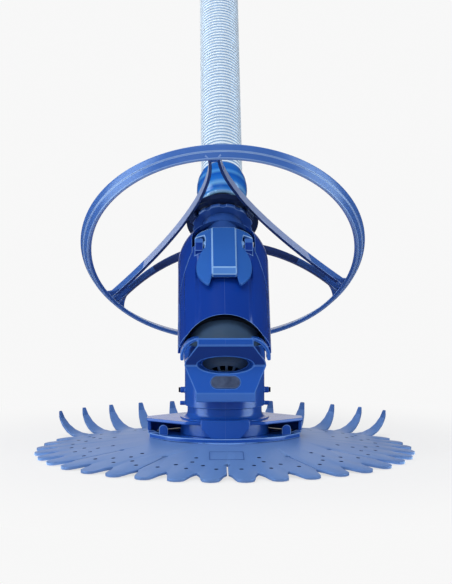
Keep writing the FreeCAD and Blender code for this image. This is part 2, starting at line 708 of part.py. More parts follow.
def release_handle():
    """The lever on the cover: a flared skin with two pointed tips, a raised rib and a hinge barrel."""
    tip, knee, top, bare = d.handle_tip, d.hinge_station - 9, d.handle_top, d.body_radius + d.cover_gap
    face = bare + d.handle_skin
    skin = turned_body("Handle_skin", [
        (bare + 5, tip - 1), (face + 5, tip - 1), (face, knee), (face, top), (bare, top), (bare, knee)])
    hood = d.body_radius - 19
    waist, lobe, point = hood - 11.5, hood - 2.2, d.rib_half + 5.5
    wings = prism("Handle_wings", "XZ_Plane", [
        (d.rib_half, tip + 17), (point - 2, tip + 1), (point + 0.5, tip + 1.5),
        (waist, knee, "arc", lobe, knee - 30), (waist, top - 9.5, "arc", waist - 1, knee + 8),
        (hood, top - 8.5, "arc", hood - 5, top - 9.3), (hood - 10, top - 2, "arc", hood - 3.5, top - 4.5),
        (10 - hood, top - 2, "arc", 0.0, top), (-hood, top - 8.5, "arc", 3.5 - hood, top - 4.5),
        (-waist, top - 9.5, "arc", 5 - hood, top - 9.3), (-waist, knee, "arc", 1 - waist, knee + 8),
        (-point - 0.5, tip + 1.5, "arc", -lobe, knee - 30), (2 - point, tip + 1),
        (-d.rib_half, tip + 17)], d.body_radius / 2, clear)
    rib = prism("Handle_rib", "YZ_Plane", [
        (-bare, top - 3), (-face - 0.6, top - 1.5), (-bare - 13, tip + 20), (-bare - 9.5, tip + 12),
        (-bare - 4, tip + 12), (-bare - 3.8, tip + 18), (-bare, knee)], -d.rib_half, d.rib_half)
    barrel = cross_rod("Handle_barrel", d.pin_radius + 2.4, d.ear_in - d.cover_gap)
    web = prism("Handle_web", "YZ_Plane", [
        (-hinge_out, d.hinge_station - 3), (-hinge_out, d.hinge_station + 3),
        (-bare - 1, d.hinge_station + 3), (-bare - 1, d.hinge_station - 3)], 2 - d.rib_half, d.rib_half - 2)
    grip = boolean("MultiCommon", "Handle_grip", [skin, wings])
    solid = boolean("MultiFuse", "Handle_solid", [grip, rib, barrel, web])
    bore = cross_rod("Handle_bore", d.pin_radius + d.running_gap, d.ear_out)
    return keep(boolean("Cut", "Handle", [solid, bore]), "release_handle", True)


def handle_pin():
    """The hinge pin, with a head at one end."""
    shank = cross_rod("Pin_shank", d.pin_radius, d.ear_out)
    head = cross_rod("Pin_head", d.pin_radius + 1.2, d.ear_out)
    head.setExpression(".Placement.Base.x", d.ear_out.text)
    head.setExpression("Height", None)
    head.Height = 1.2
    return keep(boolean("MultiFuse", "Pin", [shank, head]), "handle_pin", True)


body_shell()
front_cover()
release_handle()
handle_pin()


# ---- cassette ----

cassette_lower()
plain_ring("Compression_ring", "compression_ring", dome_radius + d.running_gap, cassette_radius + 1.0,
           d.cassette_base - 2, 10.0)
cassette_upper()
diaphragm()
plain_ring("Diaphragm_ring", "diaphragm_ring", diaphragm_out, diaphragm_out + 3, d.cassette_top - 19, 5.0)


# ---- pipes, wheel and hose ----

nut_base = d.neck_top
hub_base = nut_base + d.nut_thick + d.soft_gap
hub_top = hub_base + d.hub_height
bush_out = neck_bore + d.bush_wall


def outer_pipe():
    """The pipe that carries the hose, and turns inside the wheel's bush."""
    inner = d.pipe_radius - d.pipe_wall
    return plain_ring("Outer_pipe", "outer_extension_pipe", inner, d.pipe_radius, pipe_foot,
                      d.cuff_start + 18 - pipe_foot)


def stop_ring():
    """The grooved ring on the outer pipe that keeps the wheel on."""
    foot, out, bore = hub_top + d.soft_gap, d.pipe_radius + 5.5, d.pipe_radius + d.running_gap
    return keep(turned_body("Stop_ring", [
        (bore, foot), (out, foot), (out, foot + 3), (out - 2, foot + 3), (out - 2, foot + 5), (out, foot + 5),
        (out, foot + 8), (out - 3, foot + 10), (bore, foot + 10)]), "stop_ring", True)


def hand_nut():
    """The nut on the neck, with finger scallops round its rim."""
    body = turned_body("Nut", [
        (d.pipe_radius + d.running_gap, nut_base), (d.nut_radius - 0.8, nut_base),
        (d.nut_radius, nut_base + 0.8), (d.nut_radius, nut_base + d.nut_thick),
        (d.pipe_radius + d.running_gap, nut_base + d.nut_thick)])
    doc.recompute()
    sketch = sketch_on(body, "XY_Plane", "Nut_scallop")
    out, bite = d.nut_radius + 4, 6.0
    at = sketch.addGeometry(Part.Circle(Vector(0, -out.value, 0), Vector(0, 0, 1), bite), False)
    sketch.addConstraint(Sketcher.Constraint("PointOnObject", at, 3, -2))
    sketch.addConstraint(Sketcher.Constraint("Radius", at, bite))
    row = sketch.addConstraint(Sketcher.Constraint("DistanceY", at, 3, -1, 1, out.value))
    sketch.setExpression(f"Constraints[{row}]", out.text)
    scallop = body.newObject("PartDesign::Pocket", "Nut_scallop_cut")
    scallop.Profile = sketch
    scallop.Type = 1
    scallop.Midplane = True
    ring = body.newObject("PartDesign::PolarPattern", "Nut_scallops")
    ring.Originals = [scallop]
    ring.Axis = (sketch, ["N_Axis"])
    ring.Angle = 360.0
    ring.Occurrences = 12
    body.Tip = ring
    return keep(body, "hand_nut", True)


def deflector_wheel():
    """The wheel: a slanted strip ring, three bowed spokes that rise to the hub, and the hub itself."""
    out, station, thick = d.wheel_radius, d.wheel_station, d.strip_thick
    ring = turned_body("Wheel_ring", [
        (out - d.strip_width, station - d.strip_drop),
        (out - d.strip_width + 1.8, station - d.strip_drop + 0.4),
        (out - 3.6, station - 5.6), (out - 2.6, station - 5.4), (out, station), (out + 0.6, station + 2.2),
        (out - 2.4, station + 2.8), (out - thick, station + 0.8),
        (out - d.strip_width - thick, station - d.strip_drop + 2.6)])
    hub = turned_body("Wheel_hub", [
        (bush_out + d.running_gap, hub_base), (d.nut_radius - 1, hub_base), (d.nut_radius - 1, hub_base + 1),
        (d.hub_radius - 1, hub_base + 1), (d.hub_radius, hub_base + 2), (d.hub_radius, hub_top),
        (d.hub_radius - 3, hub_top), (d.hub_radius - 3, hub_top - 5), (bush_out + 3.5, hub_top - 5),
        (bush_out + 3.5, hub_top), (bush_out + d.running_gap, hub_top)])
    pieces = [ring, hub]
    end_x, end_y, foot = d.wheel_radius * 0.81, d.wheel_radius * 0.5, d.wheel_station - 13
    for turn in range(3):
        plan = prism(f"Spoke_plan_{turn}", "XY_Plane", [
            (end_x, end_y + d.spoke_thick),
            (-end_x, end_y + d.spoke_thick, "arc", 0.0, d.spoke_reach + d.spoke_thick), (-end_x, end_y),
            (end_x, end_y, "arc", 0.0, d.spoke_reach)], 0.0, d.spoke_top + d.spoke_height)
        rise = prism(f"Spoke_rise_{turn}", "XZ_Plane", [
            (end_x + 4, foot + d.spoke_height),
            (-end_x - 4, foot + d.spoke_height, "arc", 0.0, d.spoke_top), (-end_x - 4, foot),
            (end_x + 4, foot, "arc", 0.0, d.spoke_top - d.spoke_height)], -d.wheel_radius, 0.0)
        lug = prism(f"Spoke_lug_{turn}", "YZ_Plane", [
            (d.hub_radius - 2, hub_top - 2), (d.spoke_reach + 2, hub_top - 4),
            (d.spoke_reach - 1, hub_base - 10),
            (d.nut_radius + 1.5, hub_base - 10), (d.nut_radius + 1.5, hub_base + 1.5),
            (d.hub_radius - 2, hub_base + 1.5)], -7.0, 7.0)
        strip = boolean("MultiCommon", f"Spoke_strip_{turn}", [plan, rise])
        spoke = boolean("MultiFuse", f"Spoke_{turn}", [strip, lug])
        spoke.Placement = Placement(Vector(), Rotation(Vector(0, 0, 1), 120 * turn))
        spoke.setExpression(".Placement.Rotation.Angle", f"{120 * turn} + ({d.wheel_turn.text})")
        pieces.append(spoke)
    return keep(boolean("MultiFuse", "Wheel", pieces), "deflector_wheel", True)


def hose_cuff(name, label, start, upward):
    """A soft cuff: narrow at the pipe, swelling, then closing on the hose."""
    def at(height):
        return start + height if upward else start + d.cuff_length - height
    out = d.cuff_radius
    body = turned_body(name, [
        (d.pipe_radius, at(0.0)), (out - 6.0, at(0.0)), (out - 4.6, at(1.5)), (out - 4.2, at(6.0)),
        (out - 1.6, at(13.0)), (out, at(22.0)), (out, at(30.0)), (out - 1.2, at(39.0)),
        (out - 3.4, at(46.0)), (d.hose_radius + 0.6, at(d.cuff_length)),
        (d.hose_radius - d.hose_wall, at(d.cuff_length)), (d.pipe_radius, at(30.0))])
    return keep(body, label, True)


plain_ring("Inner_pipe", "inner_extension_pipe", inner_pipe_out - d.pipe_wall, inner_pipe_out,
           d.cassette_top + 14.2, d.neck_top - d.cassette_top - 7.5)
outer_pipe()
stop_ring()
hand_nut()
plain_ring("Wheel_bush", "wheel_bush", d.pipe_radius + d.running_gap, bush_out, nut_base + d.nut_thick,
           d.hub_height + d.soft_gap)
deflector_wheel()
hose_start = d.cuff_start + d.cuff_length
hose_cuff("Lower_cuff", "hose_cuff_lower", d.cuff_start, True)
plain_ring("Hose", "hose", d.hose_radius - d.hose_wall, d.hose_radius, hose_start, d.hose_length)
hose_cuff("Upper_cuff", "hose_cuff_upper", hose_start + d.hose_length, False)


# ---- check everything, then write one file for each sub-part ----

doc.recompute()
for thing in doc.Objects:
    if "Invalid" in thing.State or "Error" in thing.State:
        raise RuntimeError(f"{thing.Name} did not build: {thing.State}")
for piece in nodes:
    if piece.Shape.isNull() or not piece.Shape.isValid() or not piece.Shape.Solids:
        raise RuntimeError(f"{piece.Label} has no sound solid")
for piece in nodes:
    piece.Shape.exportStep(f"parts/{piece.Label}.step")
    box = piece.Shape.BoundBox
    print(f"{piece.Label}: {len(piece.Shape.Solids)} solid, {piece.Shape.Volume / 1000:.1f} cm3, "
          f"z {box.ZMin:.1f} to {box.ZMax:.1f}")
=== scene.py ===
import bpy
import bmesh
import json
import math
from mathutils.bvhtree import BVHTree
from mathutils import Matrix, Vector

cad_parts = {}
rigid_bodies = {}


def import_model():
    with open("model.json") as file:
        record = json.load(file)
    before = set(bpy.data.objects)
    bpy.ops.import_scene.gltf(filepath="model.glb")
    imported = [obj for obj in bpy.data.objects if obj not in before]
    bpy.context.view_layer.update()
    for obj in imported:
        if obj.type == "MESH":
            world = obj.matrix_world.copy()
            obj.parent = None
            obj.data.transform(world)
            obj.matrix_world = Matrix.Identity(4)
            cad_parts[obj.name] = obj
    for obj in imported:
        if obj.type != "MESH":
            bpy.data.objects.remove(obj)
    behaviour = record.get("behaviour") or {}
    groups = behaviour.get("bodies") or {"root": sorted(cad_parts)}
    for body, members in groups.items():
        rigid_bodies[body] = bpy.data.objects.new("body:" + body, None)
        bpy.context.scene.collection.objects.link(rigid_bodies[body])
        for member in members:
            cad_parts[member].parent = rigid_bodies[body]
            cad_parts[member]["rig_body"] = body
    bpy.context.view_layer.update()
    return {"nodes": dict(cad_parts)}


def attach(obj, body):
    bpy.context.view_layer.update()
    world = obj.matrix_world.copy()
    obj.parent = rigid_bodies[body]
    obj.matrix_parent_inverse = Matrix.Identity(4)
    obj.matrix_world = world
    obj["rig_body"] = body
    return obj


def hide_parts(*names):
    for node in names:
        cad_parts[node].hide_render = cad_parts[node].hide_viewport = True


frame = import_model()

nodes = frame["nodes"]
leanAngle = math.radians(45)
jointHeight = 0.110
hoseAxis = Vector((0, math.sin(leanAngle), math.cos(leanAngle)))
jointPoint = Vector((0, 0, jointHeight))


def axisPoint(station):
    return jointPoint + hoseAxis * station


def stationOf(point):
    return (Vector(point) - jointPoint).dot(hoseAxis)


def axisRadius(point):
    # distance from the leaning axis
    away = Vector(point) - jointPoint
    return (away - hoseAxis * away.dot(hoseAxis)).length


def leanMatrix():
    # turns what is drawn upright about Z onto the leaning axis
    return Matrix.Translation(jointPoint) @ Matrix.Rotation(-leanAngle, 4, "X")


# shader nodes: what goes in is a socket of another node or a plain value

def feed(tree, value, socket):
    if hasattr(value, "links"):
        tree.links.new(value, socket)
    else:
        socket.default_value = value


def mathNode(tree, operation, *values):
    node = tree.nodes.new("ShaderNodeMath")
    node.operation = operation
    for socket, value in zip(node.inputs, values):
        feed(tree, value, socket)
    return node.outputs[0]


def vectorNode(tree, operation, output, *values):
    node = tree.nodes.new("ShaderNodeVectorMath")
    node.operation = operation
    for socket, value in zip(node.inputs, values):
        feed(tree, value, socket)
    return node.outputs[output]


def splitVector(tree, value):
    node = tree.nodes.new("ShaderNodeSeparateXYZ")
    tree.links.new(value, node.inputs[0])
    return node.outputs


def rampNode(tree, value, start, end, soft=True, lowest=0.0):
    # from lowest to 1 while the value goes from start to end
    node = tree.nodes.new("ShaderNodeMapRange")
    node.interpolation_type = "SMOOTHSTEP" if soft else "LINEAR"
    node.inputs["From Min"].default_value, node.inputs["From Max"].default_value = start, end
    node.inputs["To Min"].default_value = lowest
    tree.links.new(value, node.inputs["Value"])
    return node.outputs["Result"]


def mixColours(tree, share, first, second):
    node = tree.nodes.new("ShaderNodeMix")
    node.data_type = "RGBA"
    tree.links.new(share, node.inputs["Factor"])
    for name, value in (("A", first), ("B", second)):
        feed(tree, value if hasattr(value, "links") else (*value, 1), node.inputs[name])
    return node.outputs["Result"]


def noiseNode(tree, place, scale, detail):
    node = tree.nodes.new("ShaderNodeTexNoise")
    node.inputs["Detail"].default_value = detail
    tree.links.new(place, node.inputs["Vector"])
    tree.links.new(scale, node.inputs["Scale"])
    return node.outputs["Fac"]


def newGroup(groupName, inlets, outlets):
    # a node group with its ends: name, kind and value of each inlet, name and kind of each outlet
    group = bpy.data.node_groups.new(groupName, "ShaderNodeTree")
    for name, kind, value in inlets:
        socket = group.interface.new_socket(name=name, in_out="INPUT", socket_type=kind)
        if value is not None:
            socket.default_value = value
    for name, kind in outlets:
        group.interface.new_socket(name=name, in_out="OUTPUT", socket_type=kind)
    return group, group.nodes.new("NodeGroupInput").outputs, group.nodes.new("NodeGroupOutput").inputs


# camera, light and floor

cameraSet = {"place": (-0.0397, -2.2744, 0.3400), "pitchDown": 3.955, "yawRight": 1.04, "lens": 124.6,
             "sensor": 36, "farthest": 40}
floorSet = {"size": 14.0, "colour": (0.84, 0.84, 0.85), "seen": (0.935, 0.935, 0.935),
            "shadowShare": 0.26, "shadowReach": (0.22, 0.50)}
# what lights the parts from all round, and what their reflections see: a dim room, two tall soft strips
# at the sides and the pale backdrop behind; the angles are turned from straight ahead
studioSet = {"ambient": (0.32, 0.33, 0.35), "dim": (0.05, 0.06, 0.08), "glow": (3.4, 4.7, 5.6),
             "strip": (57, 93), "backdrop": (160, 174), "soft": 5, "height": (0.45, 0.70)}
lightSet = {
    "keyLeft": {"place": (-1.9, -0.35, 0.85), "aim": (0, 0.05, 0.2), "size": (0.8, 1.6), "power": 17},
    "fillRight": {"place": (1.9, -0.55, 0.8), "aim": (0, 0.05, 0.2), "size": (0.6, 1.6), "power": 10},
    "top": {"place": (-0.4, -0.9, 2.2), "aim": (0, 0.05, 0.1), "size": (1.6, 1.2), "power": 24},
    "front": {"place": (-0.9, -2.5, 1.2), "aim": (0, 0, 0.2), "size": (1.0, 0.9), "power": 9},
}


def makeCamera():
    bpy.ops.object.camera_add(location=cameraSet["place"])
    cam = bpy.context.object
    cam.name = "camera"
    cam.rotation_euler = (math.radians(90 - cameraSet["pitchDown"]), 0, math.radians(-cameraSet["yawRight"]))
    cam.data.lens = cameraSet["lens"]
    cam.data.sensor_width = cameraSet["sensor"]
    cam.data.clip_end = cameraSet["farthest"]
    bpy.context.scene.camera = cam


def makeLights():
    for name, values in lightSet.items():
        bpy.ops.object.light_add(type="AREA", location=values["place"])
        lamp = bpy.context.object
        lamp.name = name
        lamp.data.shape = "RECTANGLE"
        lamp.data.size, lamp.data.size_y = values["size"]
        lamp.data.energy = values["power"]
        lamp.visible_glossy = False  # the studio's strips are what reflections see
        direction = Vector(values["aim"]) - lamp.location
        lamp.rotation_euler = direction.to_track_quat("-Z", "Y").to_euler()


def seenShare(tree):
    # 1 for rays that look at the backdrop straight, in a reflection or through clear plastic
    path = tree.nodes.new("ShaderNodeLightPath").outputs
    either = mathNode(tree, "MAXIMUM", path["Is Camera Ray"], path["Is Glossy Ray"])
    return path, mathNode(tree, "MAXIMUM", either, path["Is Transmission Ray"])


def makeStudioGroup():
    # what a reflection sees in a direction: strips, backdrop or the dim room
    group, inlet, outlet = newGroup("studioSides", (("Direction", "NodeSocketVector", None),),
                                    (("Color", "NodeSocketColor"),))
    parts = splitVector(group, vectorNode(group, "NORMALIZE", "Vector", inlet["Direction"]))
    aside = mathNode(group, "ABSOLUTE", parts["X"])
    ahead = mathNode(group, "MULTIPLY", parts["Y"], -1)
    turned = mathNode(group, "ARCTAN2", aside, ahead)
    soft = math.radians(studioSet["soft"])
    near, far = (math.radians(value) for value in studioSet["strip"])
    strip = mathNode(group, "SUBTRACT", rampNode(group, turned, near - soft, near + soft),
                     rampNode(group, turned, far - soft, far + soft))
    steep = rampNode(group, mathNode(group, "ABSOLUTE", parts["Z"]), *studioSet["height"])
    low = mathNode(group, "SUBTRACT", 1, steep)
    backdrop = rampNode(group, turned, *(math.radians(value) for value in studioSet["backdrop"]))
    room = mixColours(group, mathNode(group, "MULTIPLY", backdrop, low), studioSet["dim"], floorSet["seen"])
    lit = mixColours(group, mathNode(group, "MULTIPLY", strip, low), room, studioSet["glow"])
    group.links.new(lit, outlet["Color"])
    return group


def studioTone(tree, path, direction):
    # the backdrop's own tone for the camera, the studio's sides for reflections
    sides = tree.nodes.new("ShaderNodeGroup")
    sides.node_tree = studioGroup
    tree.links.new(direction, sides.inputs["Direction"])
    return mixColours(tree, path["Is Glossy Ray"], floorSet["seen"], sides.outputs["Color"])


def makeWorld():
    world = bpy.data.worlds.new("studioWorld")
    bpy.context.scene.world = world
    world.use_nodes = True
    tree = world.node_tree
    tree.nodes.clear()
    path, seen = seenShare(tree)
    direction = tree.nodes.new("ShaderNodeTexCoord").outputs["Generated"]
    sky = tree.nodes.new("ShaderNodeBackground")
    tone = mixColours(tree, seen, studioSet["ambient"], studioTone(tree, path, direction))
    tree.links.new(tone, sky.inputs["Color"])
    out = tree.nodes.new("ShaderNodeOutputWorld")
    tree.links.new(sky.outputs[0], out.inputs["Surface"])


def makeFloor():
    bpy.ops.mesh.primitive_plane_add(size=floorSet["size"], location=(0, 0, 0))
    floor = bpy.context.object
    floor.name = "studioFloor"
    mat = bpy.data.materials.new("floorPaper")
    mat.use_nodes = True
    tree = mat.node_tree
    tree.nodes.clear()
    path, seen = seenShare(tree)
    paper = tree.nodes.new("ShaderNodeBsdfDiffuse")
    paper.inputs["Color"].default_value = (*floorSet["colour"], 1)
    place = tree.nodes.new("ShaderNodeTexCoord").outputs["Object"]
    glow = tree.nodes.new("ShaderNodeEmission")
    tree.links.new(studioTone(tree, path, place), glow.inputs["Color"])
    # the paper's own shading shows only near the object, so that no horizon is seen
    away = vectorNode(tree, "LENGTH", "Value", place)
    fade = rampNode(tree, away, *floorSet["shadowReach"], lowest=1 - floorSet["shadowShare"])
    blend = tree.nodes.new("ShaderNodeMixShader")
    tree.links.new(mathNode(tree, "MULTIPLY", seen, fade), blend.inputs["Fac"])
    tree.links.new(paper.outputs[0], blend.inputs[1])
    tree.links.new(glow.outputs[0], blend.inputs[2])
    out = tree.nodes.new("ShaderNodeOutputMaterial")
    tree.links.new(blend.outputs[0], out.inputs["Surface"])
    floor.data.materials.append(mat)


bpy.context.scene.view_settings.view_transform = "Standard"
makeCamera()
makeLights()
studioGroup = makeStudioGroup()
makeWorld()
makeFloor()
print("camera, lights and floor are up")


# materials

def srgb(red, green, blue):
    # screen colour, 0 to 255, to scene-linear
    def one(value):
        share = value / 255
        return share / 12.92 if share <= 0.04045 else ((share + 0.055) / 1.055) ** 2.4
    return one(red), one(green), one(blue)


mouldSet = {"cloudDetail": 3.0, "grainDetail": 2.0, "seamEdge": (0.00035, 0.00015),
            "seamHighlight": (0.30, 0.42, 0.70)}


def makeMouldGroup():
    # fine mottling, a painted highlight along the parting line, and orange peel of moulded plastic
    group, inlet, outlet = newGroup("mouldedSkin", (
        ("Base", "NodeSocketColor", (0.1, 0.2, 0.6, 1)), ("Shade", "NodeSocketColor", (0.05, 0.1, 0.4, 1)),
        ("Mottle", "NodeSocketFloat", 0.3), ("Mottle Scale", "NodeSocketFloat", 30.0),
        ("Roughness", "NodeSocketFloat", 0.25), ("Roughness Spread", "NodeSocketFloat", 0.08),
        ("Grain Scale", "NodeSocketFloat", 900.0), ("Seam", "NodeSocketFloat", 0.0),
    ), (("Color", "NodeSocketColor"), ("Roughness", "NodeSocketFloat"), ("Height", "NodeSocketFloat")))
    place = group.nodes.new("ShaderNodeTexCoord").outputs["Object"]
    clouds = noiseNode(group, place, inlet["Mottle Scale"], mouldSet["cloudDetail"])
    amount = mathNode(group, "MULTIPLY", clouds, inlet["Mottle"])
    tint = mixColours(group, amount, inlet["Base"], inlet["Shade"])
    # the mould's parting line down the middle, painted pale as a highlight where its ridge catches the light
    aside = mathNode(group, "ABSOLUTE", splitVector(group, place)["X"])
    line = rampNode(group, aside, *mouldSet["seamEdge"], soft=False)
    seam = mathNode(group, "MULTIPLY", line, inlet["Seam"])
    group.links.new(mixColours(group, seam, tint, mouldSet["seamHighlight"]), outlet["Color"])
    centred = mathNode(group, "SUBTRACT", clouds, 0.5)
    spread = mathNode(group, "MULTIPLY_ADD", centred, inlet["Roughness Spread"], inlet["Roughness"])
    group.links.new(spread, outlet["Roughness"])
    grain = noiseNode(group, place, inlet["Grain Scale"], mouldSet["grainDetail"])
    group.links.new(grain, outlet["Height"])
    return group


mouldGroup = makeMouldGroup()
plasticSet = {"ior": 1.48, "coatRoughness": 0.08, "bumpDepth": 0.0002}


def plastic(name, base, shade, roughness=0.25, mottle=0.35, mottleScale=30.0, spread=0.08, grainScale=900.0,
            bump=0.012, coat=0.0, transmission=0.0, seam=0.0):
    mat = bpy.data.materials.new(name)
    mat.use_nodes = True
    tree = mat.node_tree
    skin = tree.nodes.new("ShaderNodeGroup")
    skin.node_tree = mouldGroup
    for inlet, value in (("Base", (*base, 1)), ("Shade", (*shade, 1)), ("Mottle", mottle),
                         ("Mottle Scale", mottleScale), ("Roughness", roughness),
                         ("Roughness Spread", spread), ("Grain Scale", grainScale), ("Seam", seam)):
        skin.inputs[inlet].default_value = value
    shader = tree.nodes["Principled BSDF"]
    shader.inputs["IOR"].default_value = plasticSet["ior"]
    shader.inputs["Coat Weight"].default_value = coat
    shader.inputs["Coat Roughness"].default_value = plasticSet["coatRoughness"]
    shader.inputs["Transmission Weight"].default_value = transmission
    relief = tree.nodes.new("ShaderNodeBump")
    relief.inputs["Strength"].default_value = bump
    relief.inputs["Distance"].default_value = plasticSet["bumpDepth"]
    tree.links.new(skin.outputs["Color"], shader.inputs["Base Color"])
    tree.links.new(skin.outputs["Roughness"], shader.inputs["Roughness"])
    tree.links.new(skin.outputs["Height"], relief.inputs["Height"])
    tree.links.new(relief.outputs["Normal"], shader.inputs["Normal"])
    return mat


finishes = {
    "navy": plastic("bodyNavy", srgb(14, 56, 148), srgb(10, 46, 130), roughness=0.20, seam=0.10),
    "blue": plastic("footBlue", srgb(32, 86, 178), srgb(26, 74, 164), roughness=0.22, seam=0.07),
    "lever": plastic("leverBlue", srgb(44, 98, 180), srgb(36, 86, 166), roughness=0.24),
    "disc": plastic("discPeriwinkle", srgb(98, 134, 192), srgb(86, 122, 184), roughness=0.42, mottle=0.6,
                    mottleScale=18.0, grainScale=500.0, bump=0.10),
    "wheel": plastic("wheelSlate", srgb(64, 104, 176), srgb(54, 94, 166), roughness=0.24, bump=0.0,
                     spread=0.02),
    # painted highlight for the spokes' outer faces, and painted shade for their undersides and hub side
    "outside": plastic("wheelSpokeHighlight", srgb(146, 162, 202), srgb(132, 150, 194), roughness=0.3, bump=0.0),
    "inside": plastic("wheelSpokeShade", srgb(40, 60, 116), srgb(32, 50, 102), roughness=0.26, bump=0.0),
    # painted highlight on the body's neck, for the light it catches from above
    "neck": plastic("bodyNeckHighlight", srgb(46, 84, 156), srgb(38, 74, 144), roughness=0.20),
    "nut": plastic("nutBlue", srgb(46, 86, 164), srgb(38, 76, 150), roughness=0.20),
    "hub": plastic("hubNavy", srgb(20, 34, 72), srgb(15, 26, 58), roughness=0.22),
    "smoke": plastic("cassetteSmoke", srgb(60, 82, 108), srgb(48, 68, 90), roughness=0.24, coat=0.2),
    # the badge's pale mottling is painted reflection, soft highlights for its glassy face
    "dark": plastic("badgeDark", srgb(26, 34, 56), srgb(96, 112, 144), roughness=0.10, coat=0.6,
                    mottleScale=110.0, mottle=0.9),
    "pad": plastic("padRubber", srgb(40, 54, 88), srgb(32, 44, 74), roughness=0.6, mottle=0.6, bump=0.15),
    "gasket": plastic("gasketBlack", srgb(14, 16, 22), srgb(10, 12, 16), roughness=0.5),
    "pipe": plastic("pipeBlack", srgb(18, 22, 34), srgb(12, 15, 24), roughness=0.30),
    "cuff": plastic("cuffClearBlue", srgb(24, 122, 226), srgb(16, 100, 208), roughness=0.10, coat=0.4,
                    transmission=0.25),
    "hose": plastic("hosePale", srgb(222, 235, 245), srgb(214, 230, 243), roughness=0.30),
    # painted shade in the hose's grooves between its ribs
    "groove": plastic("hoseGrooveShade", srgb(150, 178, 208), srgb(138, 168, 204), roughness=0.45),
    # the ...Edge and ...Rim finishes are painted highlights, paler tones for the light that rounded edges
    # catch
    "navyEdge": plastic("bodyNavyEdge", srgb(96, 138, 208), srgb(84, 128, 200), roughness=0.20),
    "blueEdge": plastic("footBlueEdge", srgb(116, 158, 220), srgb(104, 148, 212), roughness=0.22),
    "softEdge": plastic("footBlueSoftEdge", srgb(70, 118, 196), srgb(60, 108, 186), roughness=0.22),
    # painted shade for the chin's brow
    "brow": plastic("footBlueBrowShade", srgb(24, 54, 128), srgb(18, 44, 112), roughness=0.24),
    # painted highlight on the foot of the lever's rib
    "leverFoot": plastic("leverBlueFootHighlight", srgb(78, 128, 200), srgb(68, 118, 190), roughness=0.22),
    # painted shade on the curled rear fins of the disc
    "fin": plastic("discFinShade", srgb(72, 110, 172), srgb(60, 98, 162), roughness=0.42, mottle=0.6,
                   mottleScale=18.0, grainScale=500.0, bump=0.10),
    # painted highlight for the chin's lip and for the tops of the cover's ears
    "lip": plastic("footBlueLitFace", srgb(66, 114, 194), srgb(54, 102, 182), roughness=0.22),
    "leverEdge": plastic("leverBlueEdge", srgb(138, 180, 228), srgb(126, 170, 222), roughness=0.22),
    "wheelEdge": plastic("wheelSlateEdge", srgb(128, 158, 208), srgb(116, 148, 202), roughness=0.24,
                         bump=0.0),
    "nutEdge": plastic("nutBlueEdge", srgb(92, 126, 188), srgb(82, 116, 180), roughness=0.20),
    "darkEdge": plastic("badgeRim", srgb(86, 104, 140), srgb(76, 94, 130), roughness=0.14),
    "cuffEdge": plastic("cuffRim", srgb(150, 204, 244), srgb(130, 190, 240), roughness=0.12),
    "holeShade": plastic("discHoles", srgb(34, 54, 98), srgb(28, 46, 88), roughness=0.6),
    "discLine": plastic("discOutline", srgb(62, 96, 158), srgb(56, 88, 150), roughness=0.5),
    "steel": plastic("pinSteel", srgb(176, 180, 186), srgb(160, 164, 170), roughness=0.3),
}
# what the rounded edges of a finish catch of the light; the others keep their own tone there
edgeHighlight = {"navy": "navyEdge", "blue": "blueEdge", "lever": "leverEdge", "wheel": "wheelEdge",
              "nut": "nutEdge", "dark": "darkEdge", "cuff": "cuffEdge"}
nodeFinish = {
    "foot_pad": "pad", "stop_ring": "pipe", "finned_disc": "disc", "base_flange": "blue",
    "foot_collar": "blue", "pad_clip_left": "blue", "pad_clip_right": "blue", "throat": "blue",
    "chin_cowl": "blue", "badge_plate": "dark", "side_screws": "pipe", "body_shell": "navy",
    "front_cover": "navy", "cassette_lower": "smoke", "compression_ring": "gasket",
    "cassette_upper": "smoke", "diaphragm": "pad",
    "diaphragm_ring": "smoke", "inner_extension_pipe": "pipe", "outer_extension_pipe": "pipe",
    "hand_nut": "nut", "wheel_bush": "pipe", "deflector_wheel": "wheel", "release_handle": "lever",
    "handle_pin": "steel", "hose_cuff_lower": "cuff", "hose": "hose", "hose_cuff_upper": "cuff",
}


def dress(obj, *names):
    obj.data.materials.clear()
    for name in names:
        obj.data.materials.append(finishes[name])


# how far along the cuff each tone lies, as a share of the reach from the cuff's foot
cuffBands = {"foot": 0.234, "reach": 0.050,
             "tones": ((0.00, srgb(176, 216, 248)), (0.08, srgb(70, 152, 236)), (0.17, srgb(20, 100, 204)),
                       (0.26, srgb(126, 196, 250)), (0.36, srgb(38, 132, 230)), (0.52, srgb(14, 92, 196)),
                       (0.62, srgb(96, 178, 246)), (0.72, srgb(26, 116, 220)), (0.92, srgb(40, 130, 228)))}


def bandCuff(mat):
    # the ribs and the pipe inside show through the clear cuff as bands along its axis, painted into its
    # colour along with a painted highlight on the pale rim at its foot
    tree = mat.node_tree
    place = tree.nodes.new("ShaderNodeTexCoord").outputs["Object"]
    along = vectorNode(tree, "DOT_PRODUCT", "Value", place, hoseAxis)
    start = hoseAxis.dot(axisPoint(cuffBands["foot"]))
    ramp = tree.nodes.new("ShaderNodeValToRGB")
    tree.links.new(rampNode(tree, along, start, start + cuffBands["reach"], soft=False), ramp.inputs["Fac"])
    stops = ramp.color_ramp.elements
    stops.remove(stops[1])
    for number, (share, tone) in enumerate(cuffBands["tones"]):
        stop = stops[0] if number == 0 else stops.new(share)
        stop.position, stop.color = share, (*tone, 1)
    skin = next(node for node in tree.nodes if node.type == "GROUP")
    tree.links.new(ramp.outputs["Color"], skin.inputs["Base"])


bandCuff(finishes["cuff"])
for nodeName, finish in nodeFinish.items():
    dress(nodes[nodeName], finish)
print("materials are on the CAD nodes")


# helpers for modelled pieces

def clearSelection():
    if bpy.context.mode != "OBJECT":
        bpy.ops.object.mode_set(mode="OBJECT")
    bpy.ops.object.select_all(action="DESELECT")


